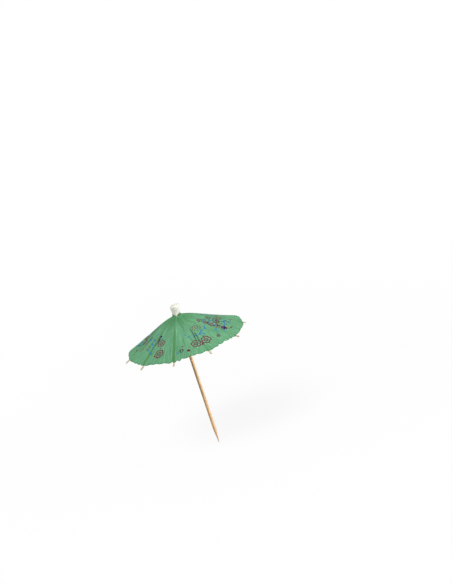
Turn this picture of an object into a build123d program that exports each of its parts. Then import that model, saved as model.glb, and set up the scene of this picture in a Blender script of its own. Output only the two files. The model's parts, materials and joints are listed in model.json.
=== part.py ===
"""Cocktail umbrella pick: a pleated paper parasol that folds on a pointed bamboo pick.

Millimetres, +Z up. The origin is on the pick's axis, where its straight shank meets its sharpened point.
Ribs swing on a thread round the crown hub, stretchers on a thread round the runner, and each rib and
stretcher meet at a tied knuckle. Every rib carries half a gore of paper on each side.
"""
from build123d import *
from math import cos, hypot, radians, sin, tan
import os

# Pick
POINT_LENGTH = 10.0
POINT_END_RADIUS = 0.14
SHANK_RADIUS = 1.1
SHANK_LENGTH = 24.0
PICK_TOP_RADIUS = 1.07

# Frame of ribs and stretchers
RIB_COUNT = 10
OPEN_ANGLE = 65.0  # rib from the pick's axis, canopy open
PIVOT_HEIGHT = 80.9
PIVOT_RADIUS = 2.6
KNUCKLE_REACH = 19.0  # along the rib, from its pivot to its knuckle
KNUCKLE_DROP = 0.82  # from the rib's centre line down to its knuckle
BAR_THICKNESS = 0.6
NECK_WIDTH = 0.7
NECK_LENGTH = 2.4
RIB_WIDTH = 1.5
RIB_WIDE_AT = 8.0
RIB_TIP_WIDTH = 1.1
RIB_TIP_CHAMFER = 0.35
RIB_OVERHANG = 2.5  # rib tip beyond the paper's rim
EYE_RADIUS = 0.6
KNUCKLE_RADIUS = 0.42
KNUCKLE_WIDTH = 0.56
FORK_CHEEK = 0.3
FORK_LENGTH = 2.0
STRETCHER_WIDTH = 0.9

# Threads, ties and their play
THREAD_RADIUS = 0.2
TIE_RADIUS = 0.2
KNOT_RADIUS = 0.26
PIVOT_PLAY = 0.07
SIDE_PLAY = 0.075
SEAT_GAP = 0.02  # between pieces that are glued or pressed together
BAR_CLEARANCE = 0.15

# Hub, runner, sleeve and retaining ring
HUB_RADIUS = 3.3
HUB_DROP = 1.0
RUNNER_RISE = 0.8
RUNNER_DROP = 1.2
RUNNER_PLAY = 0.07
SLEEVE_RADIUS = 1.7
SLEEVE_PLAY = 0.1
RING_RADIUS = 2.0
RING_HEIGHT = 1.8
RING_PLAY = 0.05

# Paper
PAPER_THICKNESS = 0.2
PAPER_CLEARANCE = 0.06
RIM_SLANT = 43.4  # paper's flat radius, apex to rim
GORE_TILT = 3.0  # each half gore lifts from its rib by this angle
CREASE_OFFSET = 0.16  # crease of a half gore from its rib's centre line
GORE_GAP_INNER = 0.12
GORE_GAP_RIM = 0.7
CROWN_RADIUS = 4.6
CROWN_GAP = 0.25
CROWN_HOLE_RADIUS = 1.3

# Cap
CAP_HEIGHT = 8.0
CAP_BASE_RADIUS = 2.3
CAP_WAIST_RADIUS = 2.45
CAP_WAIST_HEIGHT = 1.6
CAP_TOP_RADIUS = 3.4
CAP_ROUND = 1.1
CAP_ROOF = 1.0
CAP_DIMPLE_RADIUS = 1.2
CAP_DIMPLE_DEPTH = 0.35

# Derived sizes and places
OPEN = radians(OPEN_ANGLE)
HALF_GORE = 180 / RIB_COUNT
HALF_BAR = BAR_THICKNESS / 2
SLOT_WIDTH = NECK_WIDTH + 2 * SIDE_PLAY
SLOT_FLOOR_RADIUS = PIVOT_RADIUS - EYE_RADIUS - BAR_CLEARANCE
THREAD_HOLE_RADIUS = THREAD_RADIUS + PIVOT_PLAY
THREAD_GROOVE_RADIUS = THREAD_RADIUS + SEAT_GAP
FORK_THROAT = KNUCKLE_WIDTH + 2 * SIDE_PLAY
FORK_WIDTH = FORK_THROAT + 2 * FORK_CHEEK
FORK_DEPTH = KNUCKLE_RADIUS + BAR_CLEARANCE
KNUCKLE_ARM = hypot(KNUCKLE_REACH, KNUCKLE_DROP)
PAPER_LIFT = HALF_BAR + PAPER_CLEARANCE + PAPER_THICKNESS / 2
CROWN_LIFT = EYE_RADIUS + PAPER_CLEARANCE + PAPER_THICKNESS / 2
PAPER_START_RADIUS = PIVOT_RADIUS + PAPER_LIFT * cos(OPEN)
APEX_STATION = -PAPER_START_RADIUS / sin(OPEN)
GORE_START = (CROWN_RADIUS + CROWN_GAP - PAPER_START_RADIUS) / sin(OPEN)
RIB_LENGTH = RIM_SLANT + APEX_STATION + RIB_OVERHANG
RUNNER_HEIGHT = PIVOT_HEIGHT - 2 * (KNUCKLE_REACH * cos(OPEN) + KNUCKLE_DROP * sin(OPEN))
FIXED_BORE = SHANK_RADIUS + SEAT_GAP


def over_pivot(radius, lift):
    """Height of the cone that lies `lift` above the rib pivots, at this radius."""
    return PIVOT_HEIGHT + (PIVOT_RADIUS - radius) / tan(OPEN) + lift / sin(OPEN)


CAP_BASE_HEIGHT = over_pivot(CAP_BASE_RADIUS, CROWN_LIFT + PAPER_THICKNESS / 2 + SEAT_GAP)
CAP_TOP_HEIGHT = CAP_BASE_HEIGHT + CAP_HEIGHT
PICK_TOP_HEIGHT = CAP_TOP_HEIGHT - CAP_DIMPLE_DEPTH - CAP_ROOF


def turned(outline):
    """Solid of revolution about Z of a closed outline in X and Z."""
    return revolve(Plane.XZ * make_face(outline), Axis.Z)


def cross_bar(radius, width, at=(0, 0, 0)):
    """Round bar along Y, centred on a point."""
    return Pos(*at) * Rot(90, 0, 0) * Cylinder(radius, width)


def thread_ring(height, radius):
    return Pos(0, 0, height) * Torus(PIVOT_RADIUS, radius)


def rib_plane(index):
    """Frame of one rib: origin at its pivot, X out along the rib, Z up off the paper's outside."""
    azimuth = radians(index * 360 / RIB_COUNT)
    outward = Vector(cos(azimuth), sin(azimuth), 0)
    up = Vector(0, 0, 1)
    pivot = outward * PIVOT_RADIUS + up * PIVOT_HEIGHT
    return Plane(
        origin=pivot,
        x_dir=outward * sin(OPEN) - up * cos(OPEN),
        z_dir=outward * cos(OPEN) + up * sin(OPEN),
    )


def stretcher_plane(index):
    """Frame of one stretcher: origin at the knuckle, X in along the stretcher to the runner."""
    rib = rib_plane(index)
    knuckle = rib.origin + rib.x_dir * KNUCKLE_REACH - rib.z_dir * KNUCKLE_DROP
    outward = Vector(rib.origin.X, rib.origin.Y, 0) / PIVOT_RADIUS
    runner_pivot = outward * PIVOT_RADIUS + Vector(0, 0, RUNNER_HEIGHT)
    inward = (runner_pivot - knuckle).normalized()
    return Plane(origin=knuckle, x_dir=inward, z_dir=inward.cross(rib.y_dir))


def make_pick():
    outline = Polyline(
        (0, -POINT_LENGTH),
        (POINT_END_RADIUS, -POINT_LENGTH),
        (SHANK_RADIUS, 0),
        (SHANK_RADIUS, SHANK_LENGTH),
        (PICK_TOP_RADIUS, PICK_TOP_HEIGHT),
        (0, PICK_TOP_HEIGHT),
        close=True,
    )
    return turned(outline)


def make_cap():
    inner_base = over_pivot(FIXED_BORE, CROWN_LIFT + PAPER_THICKNESS / 2 + SEAT_GAP)
    bore_top = PICK_TOP_HEIGHT + SEAT_GAP
    shoulder = CAP_TOP_HEIGHT - CAP_ROUND
    rim = CAP_TOP_RADIUS - CAP_ROUND
    waist = (CAP_WAIST_RADIUS, CAP_BASE_HEIGHT + CAP_WAIST_HEIGHT)
    low = Polyline(
        (0, CAP_TOP_HEIGHT - CAP_DIMPLE_DEPTH),
        (0, bore_top),
        (FIXED_BORE, bore_top),
        (FIXED_BORE, inner_base),
        (CAP_BASE_RADIUS, CAP_BASE_HEIGHT),
        waist,
    )
    side = Line(waist, (CAP_TOP_RADIUS, shoulder))
    corner = RadiusArc((CAP_TOP_RADIUS, shoulder), (rim, CAP_TOP_HEIGHT), -CAP_ROUND)
    top = Polyline(
        (rim, CAP_TOP_HEIGHT),
        (CAP_DIMPLE_RADIUS, CAP_TOP_HEIGHT),
        (0, CAP_TOP_HEIGHT - CAP_DIMPLE_DEPTH),
    )
    return turned([low, side, corner, top])


def make_canopy_crown():
    """Small cone at the middle of the paper, glued over the hub."""
    top = CROWN_LIFT + PAPER_THICKNESS / 2
    under = CROWN_LIFT - PAPER_THICKNESS / 2
    outline = Polyline(
        (CROWN_HOLE_RADIUS, over_pivot(CROWN_HOLE_RADIUS, under)),
        (CROWN_RADIUS, over_pivot(CROWN_RADIUS, under)),
        (CROWN_RADIUS, over_pivot(CROWN_RADIUS, top)),
        (CROWN_HOLE_RADIUS, over_pivot(CROWN_HOLE_RADIUS, top)),
        close=True,
    )
    return turned(outline)


def slotted(collar, height):
    """Cut a slot for each rib or stretcher, and the groove of the thread that they hang on."""
    slot = Pos(SLOT_FLOOR_RADIUS, 0, height) * Box(
        2 * HUB_RADIUS, SLOT_WIDTH, 4 * HUB_RADIUS, align=(Align.MIN, Align.CENTER, Align.CENTER)
    )
    collar -= [Rot(0, 0, index * 360 / RIB_COUNT) * slot for index in range(RIB_COUNT)]
    return collar - thread_ring(height, THREAD_GROOVE_RADIUS)


def make_crown_hub():
    roof = CROWN_LIFT - PAPER_THICKNESS / 2 - SEAT_GAP
    bottom = PIVOT_HEIGHT - HUB_DROP
    outline = Polyline(
        (FIXED_BORE, bottom),
        (HUB_RADIUS, bottom),
        (HUB_RADIUS, over_pivot(HUB_RADIUS, roof)),
        (FIXED_BORE, over_pivot(FIXED_BORE, roof)),
        close=True,
    )
    return slotted(turned(outline), PIVOT_HEIGHT)


def tube(outer, inner, bottom, top):
    return turned(Polyline((inner, bottom), (outer, bottom), (outer, top), (inner, top), close=True))


def make_spacer_sleeve():
    bottom = RUNNER_HEIGHT + RUNNER_RISE + SLEEVE_PLAY
    top = PIVOT_HEIGHT - HUB_DROP - SEAT_GAP
    return tube(SLEEVE_RADIUS, FIXED_BORE, bottom, top)


def make_runner():
    bottom = RUNNER_HEIGHT - RUNNER_DROP
    collar = tube(HUB_RADIUS, SHANK_RADIUS + RUNNER_PLAY, bottom, RUNNER_HEIGHT + RUNNER_RISE)
    return slotted(collar, RUNNER_HEIGHT)


def make_retaining_ring():
    top = RUNNER_HEIGHT - RUNNER_DROP - RING_PLAY
    ring = tube(RING_RADIUS, SHANK_RADIUS + RING_PLAY, top - RING_HEIGHT, top)
    outer_edges = ring.edges().filter_by(GeomType.CIRCLE).group_by(SortBy.RADIUS)[-1]
    return fillet(outer_edges, (RING_RADIUS - SHANK_RADIUS - RING_PLAY) / 3)


def make_rib():
    """One rib in its own frame: an eye, a neck, a flat bar and a knuckle below it."""
    neck, wide, tip = NECK_WIDTH / 2, RIB_WIDTH / 2, RIB_TIP_WIDTH / 2
    shoulder = RIB_LENGTH - RIB_TIP_CHAMFER
    half = [
        (0, neck),
        (NECK_LENGTH, neck),
        (RIB_WIDE_AT, wide),
        (shoulder, tip),
        (RIB_LENGTH, tip - RIB_TIP_CHAMFER),
    ]
    plan = make_face(Polyline(*half, *[(x, -y) for x, y in reversed(half)], close=True))
    rib = extrude(plan, HALF_BAR, both=True)
    rib += cross_bar(EYE_RADIUS, NECK_WIDTH)
    web = Pos(KNUCKLE_REACH, 0, -KNUCKLE_DROP / 2) * Box(2 * KNUCKLE_RADIUS, KNUCKLE_WIDTH, KNUCKLE_DROP)
    knuckle = (KNUCKLE_REACH, 0, -KNUCKLE_DROP)
    rib += web
    rib += cross_bar(KNUCKLE_RADIUS, KNUCKLE_WIDTH, knuckle)
    rib -= cross_bar(THREAD_HOLE_RADIUS, 2 * NECK_WIDTH)
    return rib - cross_bar(TIE_RADIUS + SEAT_GAP, 2 * KNUCKLE_WIDTH, knuckle)


def make_tie():
    """Knotted tie through a knuckle, in its rib's frame."""
    knuckle = (KNUCKLE_REACH, 0, -KNUCKLE_DROP)
    knot_offset = FORK_WIDTH / 2 + SEAT_GAP + KNOT_RADIUS
    tie = cross_bar(TIE_RADIUS, 2 * knot_offset, knuckle)
    for side in (-1, 1):
        tie += Pos(KNUCKLE_REACH, side * knot_offset, -KNUCKLE_DROP) * Sphere(KNOT_RADIUS)
    return tie


def make_stretcher():
    """One stretcher in its own frame: a fork round the knuckle and an eye at the runner."""
    fork, body, neck = FORK_WIDTH / 2, STRETCHER_WIDTH / 2, NECK_WIDTH / 2
    half = [
        (0, fork),
        (FORK_LENGTH, fork),
        (2 * FORK_LENGTH, body),
        (KNUCKLE_ARM - NECK_LENGTH, neck),
        (KNUCKLE_ARM, neck),
    ]
    plan = make_face(Polyline(*half, *[(x, -y) for x, y in reversed(half)], close=True))
    stretcher = extrude(plan, HALF_BAR, both=True)
    stretcher += cross_bar(KNUCKLE_RADIUS, FORK_WIDTH)
    stretcher += cross_bar(EYE_RADIUS, NECK_WIDTH, (KNUCKLE_ARM, 0, 0))
    throat = Pos(FORK_DEPTH, 0, 0) * Box(
        2 * FORK_DEPTH, FORK_THROAT, 3 * EYE_RADIUS, align=(Align.MAX, Align.CENTER, Align.CENTER)
    )
    stretcher -= throat
    stretcher -= cross_bar(TIE_RADIUS + PIVOT_PLAY, 2 * FORK_WIDTH)
    return stretcher - cross_bar(THREAD_HOLE_RADIUS, 2 * NECK_WIDTH, (KNUCKLE_ARM, 0, 0))


def gore_width(station):
    """From a half gore's crease to the middle of the gore, across the paper."""
    half, tilt = radians(HALF_GORE), radians(GORE_TILT)
    radius = PAPER_START_RADIUS + station * sin(OPEN)
    reach = sin(half) * radius - cos(half) * CREASE_OFFSET
    return reach / (cos(half) * cos(tilt) - sin(half) * sin(tilt) * cos(OPEN))


def make_half_gore():
    """Half a gore in its rib's frame, on the +Y side, with its crease rounded about the fold line."""
    skin = PAPER_THICKNESS / 2
    far = RIM_SLANT + RIB_OVERHANG
    rim_station = RIM_SLANT + APEX_STATION
    gap_growth = (GORE_GAP_RIM - GORE_GAP_INNER) / (rim_station - GORE_START)
    far_gap = GORE_GAP_INNER + gap_growth * (far - GORE_START)
    plan = make_face(
        Polyline(
            (GORE_START, -PAPER_THICKNESS),
            (far, -PAPER_THICKNESS),
            (far, gore_width(far) - far_gap),
            (GORE_START, gore_width(GORE_START) - GORE_GAP_INNER),
            close=True,
        )
    )
    disc = Pos(APEX_STATION, -CREASE_OFFSET * cos(radians(GORE_TILT))) * Circle(RIM_SLANT)
    sheet = extrude(plan & disc, PAPER_THICKNESS, both=True)
    width = gore_width(far)
    section = make_face(
        [
            Polyline((0, -skin), (width, -skin), (width, skin), (0, skin)),
            ThreePointArc((0, skin), (-skin, 0), (0, -skin)),
        ]
    )
    profile = extrude(Plane.YZ * section, far)
    tilt = Pos(0, CREASE_OFFSET, PAPER_LIFT) * Rot(GORE_TILT, 0, 0)
    return tilt * (sheet & profile)


def make_nodes():
    nodes = {
        "pick": make_pick(),
        "cap": make_cap(),
        "canopy_crown": make_canopy_crown(),
        "crown_hub": make_crown_hub(),
        "crown_thread": thread_ring(PIVOT_HEIGHT, THREAD_RADIUS),
        "spacer_sleeve": make_spacer_sleeve(),
        "runner": make_runner(),
        "runner_thread": thread_ring(RUNNER_HEIGHT, THREAD_RADIUS),
        "retaining_ring": make_retaining_ring(),
    }
    rib, tie, stretcher, left_gore = make_rib(), make_tie(), make_stretcher(), make_half_gore()
    right_gore = mirror(left_gore, about=Plane.XZ)
    for index in range(RIB_COUNT):
        number = f"{index + 1:02d}"
        plane = rib_plane(index)
        nodes[f"rib_{number}"] = plane * rib
        nodes[f"tie_{number}"] = plane * tie
        nodes[f"gore_{number}_left"] = plane * left_gore
        nodes[f"gore_{number}_right"] = plane * right_gore
        nodes[f"stretcher_{number}"] = stretcher_plane(index) * stretcher
    return nodes


def main():
    os.makedirs("parts", exist_ok=True)
    for name, shape in make_nodes().items():
        export_step(shape, f"parts/{name}.step")


main()
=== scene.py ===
"""Dresses the cocktail umbrella pick in printed paper, rolled paper, bamboo and thread, on a white stage.

Sizes are in millimetres and angles in degrees until a mesh is made, which is in metres.
"""
import json
import math

import bmesh
import bpy
import numpy as np
from mathutils import Matrix, Vector

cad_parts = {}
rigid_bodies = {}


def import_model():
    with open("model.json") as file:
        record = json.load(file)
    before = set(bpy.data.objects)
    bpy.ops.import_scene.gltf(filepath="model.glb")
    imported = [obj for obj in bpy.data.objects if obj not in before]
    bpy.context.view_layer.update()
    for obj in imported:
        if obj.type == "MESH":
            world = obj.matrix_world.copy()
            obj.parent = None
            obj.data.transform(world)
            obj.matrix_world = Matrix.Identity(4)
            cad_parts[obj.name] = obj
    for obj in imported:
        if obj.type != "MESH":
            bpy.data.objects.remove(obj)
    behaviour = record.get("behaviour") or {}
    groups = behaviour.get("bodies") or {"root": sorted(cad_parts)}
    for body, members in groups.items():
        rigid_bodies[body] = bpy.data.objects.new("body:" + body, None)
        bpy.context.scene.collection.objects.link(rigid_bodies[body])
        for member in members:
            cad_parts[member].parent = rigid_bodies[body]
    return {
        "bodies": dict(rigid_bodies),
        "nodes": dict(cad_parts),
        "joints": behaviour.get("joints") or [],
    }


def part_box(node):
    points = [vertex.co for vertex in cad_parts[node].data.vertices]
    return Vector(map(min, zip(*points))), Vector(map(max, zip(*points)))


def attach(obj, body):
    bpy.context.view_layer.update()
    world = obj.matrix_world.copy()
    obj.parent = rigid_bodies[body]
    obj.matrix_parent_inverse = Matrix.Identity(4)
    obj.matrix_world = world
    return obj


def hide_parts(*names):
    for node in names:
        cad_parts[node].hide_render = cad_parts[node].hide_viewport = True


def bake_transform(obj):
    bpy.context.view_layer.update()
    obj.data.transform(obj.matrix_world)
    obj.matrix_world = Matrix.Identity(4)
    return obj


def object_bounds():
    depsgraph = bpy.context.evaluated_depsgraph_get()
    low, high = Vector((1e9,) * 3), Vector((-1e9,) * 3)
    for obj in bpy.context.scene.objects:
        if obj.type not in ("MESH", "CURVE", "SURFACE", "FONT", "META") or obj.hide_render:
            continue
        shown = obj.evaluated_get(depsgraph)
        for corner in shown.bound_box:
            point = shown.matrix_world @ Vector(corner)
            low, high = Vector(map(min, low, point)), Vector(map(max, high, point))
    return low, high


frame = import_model()
CAD_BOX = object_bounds()
MM = 0.001
MERGE_DISTANCE = 0.0005
TUBE_SIDE = (0.31, 0.17, 0.94)
SCATTER_STEP = 12.9898
SCATTER_SCALE = 43758.5453

# The frame's own measures
JOINTS = {joint["name"]: joint for joint in frame["joints"]}
RIB_COUNT = sum(name.startswith("rib_") for name in frame["bodies"])
RIB_STEP = 360 / RIB_COUNT
HALF_GORE = RIB_STEP / 2
CREASE = JOINTS["gore_01_left_crease"]
CREASE_START = np.array(CREASE["pos_m"]) / MM
SIN_SLOPE = CREASE["axis"][0]
COS_SLOPE = -CREASE["axis"][2]
APEX_Z = CREASE_START[2] + CREASE_START[0] * COS_SLOPE / SIN_SLOPE
FRONT = 270
BACK = 90

# The canopy's paper, which is domed over the ribs and between them
PAPER_THICKNESS = 0.12
INNER_SLANT = 2.4
RIM_SLANT = 43.4
RIM_SHIFT = 0.6
RIM_DRIFT = 0.165
RIM_DRIFT_WAVES = 4
RIM_DRIFT_TURN = 40
PUFF_AT_RIM = 1.15
PUFF_PER_SLANT = 0.0449
MIDDLE_BOW = 1.4
MIDDLE_BOW_START = 0.3
RIB_BOW = 1.1
RIB_BOW_SKEW = 0.8
CROWN_RISE = 1.0
CROWN_START = 5
CROWN_REACH = 30
PAPER_ROWS = 108
PAPER_COLUMNS = 40
# How dark each rib's painted shadow and painted highlight are, rib by rib
RIB_SHADOW_STRENGTHS = (0.3, 0.4, 0.6, 0.5, 0.7, 1.0, 1.0, 0.85, 0.3, 0.25)

# Its scallops, flutes and crinkles, with waves as count, height and shift
SCALLOPS_PER_GORE = 5
SCALLOP_DEPTH = 1.15
SCALLOP_LEAST = 0.55
SCALLOP_SPREAD = 0.75
SCALLOP_POINT = 1.8
SIDE_SCALLOPS = 0.35
RIM_WAVES = ((7, 0.26, 0), (17, 0.15, 0))
FLUTE_PITCH = 3.6
FLUTE_HEIGHT = 0.13
FLUTE_SWELLS = 13
FLUTE_MEAN = 0.6
FLUTE_LEAN = 0.08
FLUTE_WANDERS = 9
CRINKLE_COUNT = 317
CRINKLE_WANDERS = 41
CRINKLE_HEIGHT = 0.035

# The hem under the middle of each gore
HEM_SHARE = 0.95
HEM_MARGIN = 0.2
HEM_ANGLE = 60
HEM_COLUMNS = 4
HEM_TAPER = 2.0
HEM_LEAST = 0.05

# The paper glued round the cap: its skirt as radius and rise off the cone,
# and its collar as flare and share of the height
MIDDLE_RADIUS = 4.6
MIDDLE_LIFT = 1.5
MIDDLE_SAG = 0.5
MIDDLE_EDGE = 0.03
MIDDLE_RAGGED = 0.12
RAGGED_FADE = 6
MIDDLE_SKIRT = ((MIDDLE_RADIUS, 0.0), (4.1, 0.05), (3.5, 0.1), (3.0, 0.2))
MIDDLE_COLUMNS = 180
MIDDLE_STEPS = 8
COLLAR_RADIUS = 2.6
COLLAR_HEIGHT = 2.6
COLLAR_FLARE = ((0.06, 0.6), (0.02, 1.0))
COLLAR_START = 0.45
COLLAR_NOTCH = 1.2
NOTCH_NARROWNESS = 8
COLLAR_WAVES = 9
COLLAR_WAVE_HEIGHT = 0.16
COLLAR_EDGE_WAVES = ((5, 0.22, 0.6), (13, 0.16, 0))
OFF_RIB = 9.0
OFF_RIM = 10.0
LEAST_SLANT = 0.4

# The print, with places as degrees from the front and slant from the apex
MAROON, BLUE, NAVY = 0, 1, 2
FINE_LINE = 0.38
PETAL_COUNT = 5
PETAL_DEPTH = 0.14
SMALL_BLOSSOM = 2.2
RING_SPOT = 0.45
RING_LINE = 0.2
LEAF_ROUNDNESS = 0.7
INK_REACH = 2.5
STROKE_STEPS = 4
PRINT_TURNS = (0, 180)

# A blossom's parts as shares of its radius
BLOSSOM_LINE = 0.13
PETAL_SPOT = 0.36
PETAL_SPOT_PLACE = 0.85
SMALL_EYE = 0.26
EYE = 0.11
EYE_RING = 0.4
STAMEN = (0.46, 0.68)

# Rolled paper: the cap's side as radius and height, its end as radius and drop from the top
ROLL_STEP = 0.1
CAP_SIDE = (
    (2.0, 0.0), (2.16, 0.5), (2.2, 1.6), (2.4, 3.0), (2.7, 4.6), (2.92, 6.0), (3.02, 6.9), (2.92, 7.5),
)
CAP_END = ((2.5, 0.08), (1.9, 0.0), (1.3, 0.25), (0.7, 0.4), (0.0, 0.45))
CAP_BORE = 1.2
CAP_BORE_DEPTH = 6.9
CAP_GATHER = 5
CAP_CORE = 1.5
CAP_SKIN = 0.5
CAP_LIP = 1.5
CAP_LEAN = 0.028
CAP_CURVE = 1.5
CAP_TURN = 0.36
CAP_TURN_DEPTH = 0.05
CAP_TURN_START = 0.5
CAP_TURN_FADE = 0.4
CAP_SEAM = 120
CAP_STEPS = 9
CAP_COLUMNS = 160
SLEEVE_WALL = 0.45
SLEEVE_CHAMFER = 0.12
SLEEVE_ROOM = 0.06
SLEEVE_ROUND = 0.3
SLEEVE_CORE = 0.2
SLEEVE_SEAM = 130
SLEEVE_STEPS = 5
SLEEVE_COLUMNS = 96

# Thread, with a ring's plies as shares of its thread's radius
PLY_COUNT = 2
PLY_OFFSET = 0.45
PLY_RADIUS = 0.55
RING_LAY = 22
RING_STEPS = 240
THREAD_SIDES = 8
TIE_LAY = 7
TIE_OFFSET = 0.08
TIE_PLY = 0.1
TIE_INSET = 0.1
TIE_STEPS = 40
KNOT_TURNS = 2.5
KNOT_COIL = 0.17
KNOT_THREAD = 0.085
KNOT_INSET = 0.28
KNOT_LENGTH = 0.16
KNOT_STEPS = 60

# The camera and its view of the photograph, with its near limit in metres
LENS = 150
SENSOR = 36
VIEW_AZIMUTH = -2.2
VIEW_ELEVATION = 16.4
VIEW_ROLL = 18.1
VIEW_DISTANCE = 1594
AIM_HEIGHT = 60
AIM_RIGHT = 25.36
AIM_UP = 35.9
CLIP_START = 0.01

# The light and the floor, with lamps and the floor's half width in metres
LAMP_AIM = (0, 0, 0.06)
TOP_LAMP = {"place": (-0.45, -0.7, 1.35), "size": 0.7, "power": 22.5}
KEY_LAMP = {"place": (1.3, -0.5, 0.08), "size": 0.16, "power": 17.5}
WORLD_LEVEL = 0.17
FLOOR_HALF_WIDTH = 5
FLOOR_BOUNCE = 0.42
FLOOR_WHITE = 0.9
GLOW_NEAR = 0.91
GLOW_FAR = 1.0
NEAR_FLOOR = 60
FAR_FLOOR = 500


def linear(red, green, blue):
    """A linear colour with alpha from 0 to 255 screen values."""
    values = [channel / 255 for channel in (red, green, blue)]
    return tuple(v / 12.92 if v <= 0.04045 else ((v + 0.055) / 1.055) ** 2.4 for v in values) + (1,)


def scatter(index):
    """A repeatable number from 0 to 1 for a whole number."""
    return np.modf(np.abs(np.sin(index * SCATTER_STEP) * SCATTER_SCALE))[0]


def ripple(angle, *waves):
    """A sum of waves round the pick, each with a count, a height and a shift."""
    return sum(height * np.sin(angle * count + shift) for count, height, shift in waves)


def before_back(azimuth):
    """An azimuth from -270 to 90, so that the seam of the paper's noise lies at the back."""
    return (azimuth - BACK) % 360 + BACK - 360


def round_points(radius, angle, height):
    """Points at a radius, an angle in radians and a height about the pick."""
    return np.stack([radius * np.cos(angle), radius * np.sin(angle), height], axis=-1)


# Meshes

def mesh_object(name, points, faces, sharp=()):
    """A smooth mesh object from millimetre points, with the given vertex pairs as sharp edges."""
    mesh = bpy.data.meshes.new(name)
    mesh.from_pydata([tuple(p) for p in np.asarray(points) * MM], [], faces)
    work = bmesh.new()
    work.from_mesh(mesh)
    work.verts.ensure_lookup_table()
    for first, second in sharp:
        work.edges.get((work.verts[first], work.verts[second])).smooth = False
    bmesh.ops.remove_doubles(work, verts=work.verts, dist=MERGE_DISTANCE * MM)
    bmesh.ops.recalc_face_normals(work, faces=work.faces)
    for face in work.faces:
        face.smooth = True
    work.to_mesh(mesh)
    work.free()
    obj = bpy.data.objects.new(name, mesh)
    bpy.context.scene.collection.objects.link(obj)
    return obj


def grid_faces(rows, columns, start=0, closed=False, looped=False):
    """Quads of a grid of points that are numbered along the rows.

    Closed joins the ends of each row, and looped joins the last row to the first.
    """
    faces = []
    for row in range(rows if looped else rows - 1):
        low = start + row * columns
        high = start + (row + 1) % rows * columns
        for column in range(columns if closed else columns - 1):
            right = (column + 1) % columns
            faces.append((low + column, low + right, high + right, high + column))
    return faces


def shell_object(name, outer, inner, closed=False, ridge=None):
    """A thin closed shell between two grids of points, with sharp edges at its border and along a ridge."""
    rows, columns = outer.shape[:2]
    count = rows * columns
    faces = grid_faces(rows, columns, 0, closed) + grid_faces(rows, columns, count, closed)
    number = np.arange(count).reshape(rows, columns)
    if closed:
        borders = [[*row, row[0]] for row in (number[0].tolist(), number[-1].tolist())]
    else:
        sides = [number[0], number[1:, -1], number[-1, -2::-1], number[-2::-1, 0]]
        borders = [np.concatenate(sides).tolist()]
    for border in borders:
        faces += [(a, b, b + count, a + count) for a, b in zip(border, border[1:])]
    lines = borders if ridge is None else borders + [number[:, ridge].tolist()]
    sharp = [(a + side, b + side) for line in lines for a, b in zip(line, line[1:]) for side in (0, count)]
    points = np.concatenate([outer.reshape(-1, 3), inner.reshape(-1, 3)])
    return mesh_object(name, points, faces, sharp)


def store_vectors(obj, name, outer, inner=None):
    """Stores a vector for each vertex of a shell's two sides, for the material's nodes."""
    sides = (outer, outer if inner is None else inner)
    values = np.concatenate([side.reshape(-1, 3) for side in sides])
    layer = obj.data.attributes.new(name, "FLOAT_VECTOR", "POINT")
    layer.data.foreach_set("vector", np.ascontiguousarray(values, np.float32).ravel())


def smooth_line(points, steps):
    """Points along a curve through the given ones, with a steady number of steps between them."""
    points = np.asarray(points, float)
    before = np.vstack([2 * points[0] - points[1], points[:-1]])
    after = np.vstack([points[1:], 2 * points[-1] - points[-2]])
    tangents = (after - before) / 2
    line = []
    for k in range(len(points) - 1):
        for step in range(steps):
            t = step / steps
            line.append(
                points[k] * (2 * t**3 - 3 * t**2 + 1)
                + tangents[k] * (t**3 - 2 * t**2 + t)
                + points[k + 1] * (3 * t**2 - 2 * t**3)
                + tangents[k + 1] * (t**3 - t**2)
            )
    return np.array(line + [points[-1]])


def tube(path, radius, sides, closed=False):
    """Points and faces of a round tube along a path, with its ends closed."""
    path = np.asarray(path, float)
    count = len(path)
    if closed:
        ahead = np.roll(path, -1, axis=0) - np.roll(path, 1, axis=0)
    else:
        ahead = np.gradient(path, axis=0)
    ahead /= np.linalg.norm(ahead, axis=1)[:, None]
    side = np.cross(ahead, TUBE_SIDE)
    side /= np.linalg.norm(side, axis=1)[:, None]
    up = np.cross(ahead, side)
    points = []
    for k in range(count):
        for s in range(sides):
            angle = 2 * math.pi * s / sides
            points.append(path[k] + radius * (math.cos(angle) * side[k] + math.sin(angle) * up[k]))
    faces = grid_faces(count, sides, closed=True, looped=closed)
    if not closed:
        faces += [tuple(range(sides)), tuple(range((count - 1) * sides, count * sides))]
    return points, faces


def join_tubes(name, tubes):
    """One object from several tubes."""
    points, faces = [], []
    for tube_points, tube_faces in tubes:
        start = len(points)
        points += list(tube_points)
        faces += [tuple(start + index for index in face) for face in tube_faces]
    return mesh_object(name, points, faces)


# The canopy's print

def flat_place(azimuth, slant, centre):
    """Places on the paper laid flat, in millimetres across and outward from a centre (azimuth, slant)."""
    turn = np.radians((np.asarray(azimuth) - centre[0] + 180) % 360 - 180) * SIN_SLOPE
    return slant * np.sin(turn), slant * np.cos(turn) - centre[1]


def stroke(ink, width, *places):
    """A curved line through places on the paper."""
    def distance(azimuth, slant, turned):
        centre = (places[0][0] + turned, places[0][1])
        x, y = flat_place(azimuth, slant, centre)
        route = smooth_line([flat_place(a + turned, s, centre) for a, s in places], STROKE_STEPS)
        nearest = np.full(x.shape, np.inf)
        for (ax, ay), (bx, by) in zip(route, route[1:]):
            dx, dy = bx - ax, by - ay
            share = np.clip(((x - ax) * dx + (y - ay) * dy) / (dx * dx + dy * dy), 0, 1)
            nearest = np.minimum(nearest, np.hypot(x - ax - share * dx, y - ay - share * dy))
        return nearest - width
    return ink, distance


def dot(ink, radius, place):
    """A round spot."""
    def distance(azimuth, slant, turned):
        return np.hypot(*flat_place(azimuth, slant, (place[0] + turned, place[1]))) - radius
    return ink, distance


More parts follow.
